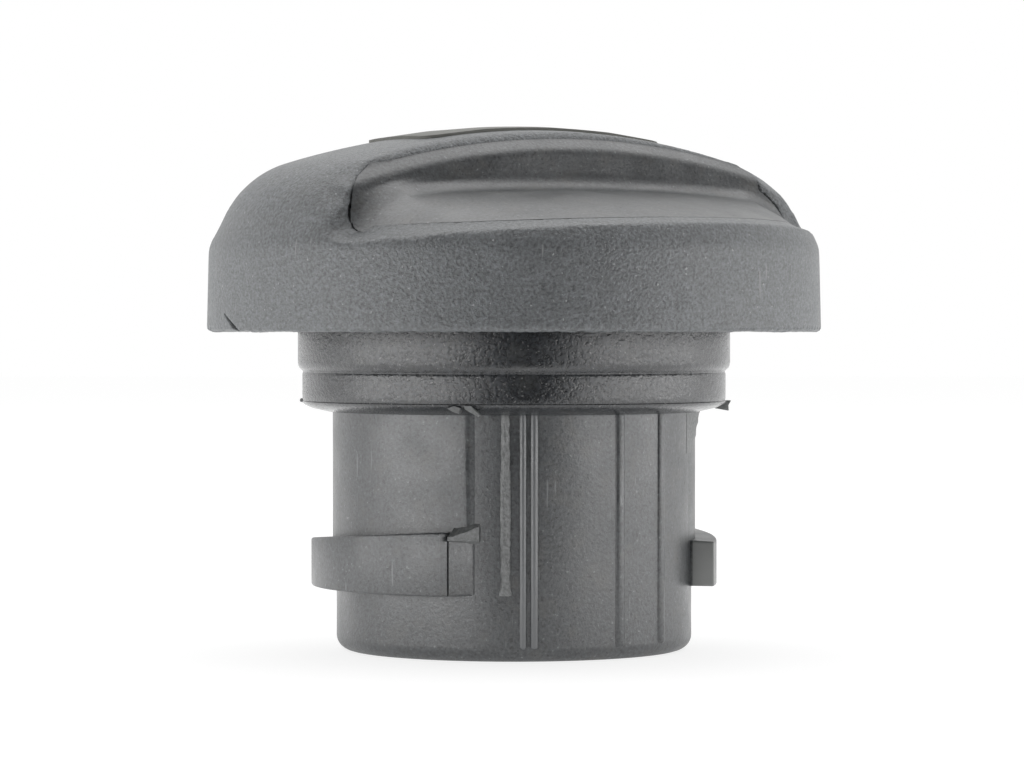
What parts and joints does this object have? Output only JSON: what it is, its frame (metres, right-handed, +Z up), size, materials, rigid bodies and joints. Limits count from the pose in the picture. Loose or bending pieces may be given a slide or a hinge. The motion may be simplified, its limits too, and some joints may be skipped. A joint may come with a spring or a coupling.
{
  "type": "oil filler cap",
  "caption": "Twist-lock oil filler cap: hard hollow plug with cam lugs and ribs, stepped soft sealing collar, hollow skirt and a domed knob with a grip bar between finger scoops.",
  "frame": {"origin": "on the cap's axis, at the level of the plug's open bottom ring, on which the cap stands", "axes": "+Z up along the cap's axis, towards the knob; -Y faces the picture's camera"},
  "size_m": [0.062, 0.062, 0.0527],
  "materials": {
    "hard_black_plastic": "smooth moulded black plastic, faintly satin, with mould lines and handling scratches",
    "soft_black_rubber": "finely speckled matt black rubber, dusty on the crown and the skirt",
    "pad_grey_plastic": "thin bare grey pad, matt"
  },
  "bodies": {
    "root": {"plug_core": "hard_black_plastic", "soft_cover": "soft_black_rubber", "top_pad": "pad_grey_plastic"}
  },
  "joints": []
}
